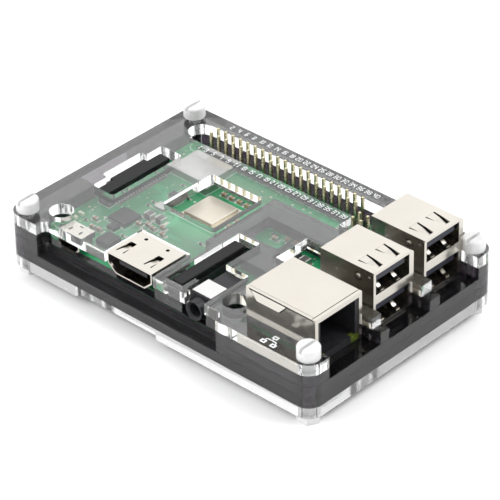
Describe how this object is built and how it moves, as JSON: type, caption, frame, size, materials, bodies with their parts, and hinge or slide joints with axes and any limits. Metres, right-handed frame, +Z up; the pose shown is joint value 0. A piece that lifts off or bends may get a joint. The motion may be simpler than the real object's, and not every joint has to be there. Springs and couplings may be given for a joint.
{
  "type": "single board computer",
  "caption": "Green single board computer with end and edge ports and a pin header, held between stacked clear and smoked acrylic sheets by corner bolts.",
  "frame": {"origin": "centre of the case in plan, on the surface the four nuts stand on", "axes": "+X towards the end with the network jack and USB sockets, +Y away from the edge with the video and audio ports, +Z up"},
  "size_m": [0.0996, 0.066, 0.027],
  "materials": {
    "clear_acrylic": "clear gloss",
    "smoke_acrylic": "smoked gloss",
    "dark_acrylic": "dark gloss",
    "nylon": "milky",
    "board_green": "solder mask",
    "solder": "tinned",
    "package_green": "laminate",
    "nickel": "nickel plate",
    "can_metal": "satin",
    "chip_black": "moulded",
    "plastic_black": "moulded",
    "capacitor_tan": "ceramic",
    "resistor_black": "film",
    "inductor_grey": "ferrite",
    "led_clear": "lens",
    "gold": "gold plate",
    "tongue_blue": "moulded",
    "jack_led": "lens",
    "card_black": "moulded",
    "print_white": "screen print",
    "frosted_mark": "engraved"
  },
  "bodies": {
    "computer": {"base_plate": "clear_acrylic", "lower_frame": "dark_acrylic", "middle_frame": "smoke_acrylic", "upper_frame": "smoke_acrylic", "top_cover": "clear_acrylic", "case_bolts": "nylon", "case_nuts": "nylon", "circuit_board": "board_green", "solder_tails": "solder", "processor_package": "package_green", "processor_lid": "nickel", "rf_shield": "can_metal", "hub_chip": "chip_black", "power_chip": "chip_black", "small_chips": "chip_black", "memory_chip": "chip_black", "capacitors": "capacitor_tan", "resistors": "resistor_black", "inductors": "inductor_grey", "crystal_cans": "can_metal", "status_leds": "led_clear", "header_body": "plastic_black", "header_pins": "gold", "power_header_body": "plastic_black", "power_header_pins": "gold", "usb_stack_a_shell": "nickel", "usb_stack_a_insert": "tongue_blue", "usb_stack_a_contacts": "gold", "usb_stack_b_shell": "nickel", "usb_stack_b_insert": "tongue_blue", "usb_stack_b_contacts": "gold", "network_jack_shell": "nickel", "network_jack_insert": "plastic_black", "network_jack_contacts": "gold", "network_jack_leds": "jack_led", "video_port_shell": "nickel", "video_port_tongue": "plastic_black", "video_port_contacts": "gold", "micro_port_shell": "nickel", "micro_port_tongue": "plastic_black", "audio_jack_body": "plastic_black", "audio_jack_plate": "can_metal", "audio_jack_contacts": "solder", "camera_connector_body": "plastic_black", "camera_connector_contacts": "solder", "display_connector_body": "plastic_black", "display_connector_contacts": "solder", "card_socket": "nickel"},
    "camera_latch_body": {"camera_latch": "plastic_black"},
    "display_latch_body": {"display_latch": "plastic_black"},
    "card_body": {"memory_card": "card_black"}
  },
  "joints": [
    {"name": "camera_latch_lift", "type": "slide", "parent": "computer", "child": "camera_latch_body", "axis": [0, 0, 1], "range_m": [0, 0.0015]},
    {"name": "display_latch_lift", "type": "slide", "parent": "computer", "child": "display_latch_body", "axis": [0, 0, 1], "range_m": [0, 0.0015]},
    {"name": "memory_card_pull", "type": "slide", "parent": "computer", "child": "card_body", "axis": [-1, 0, 0], "range_m": [0, 0.0113]}
  ]
}
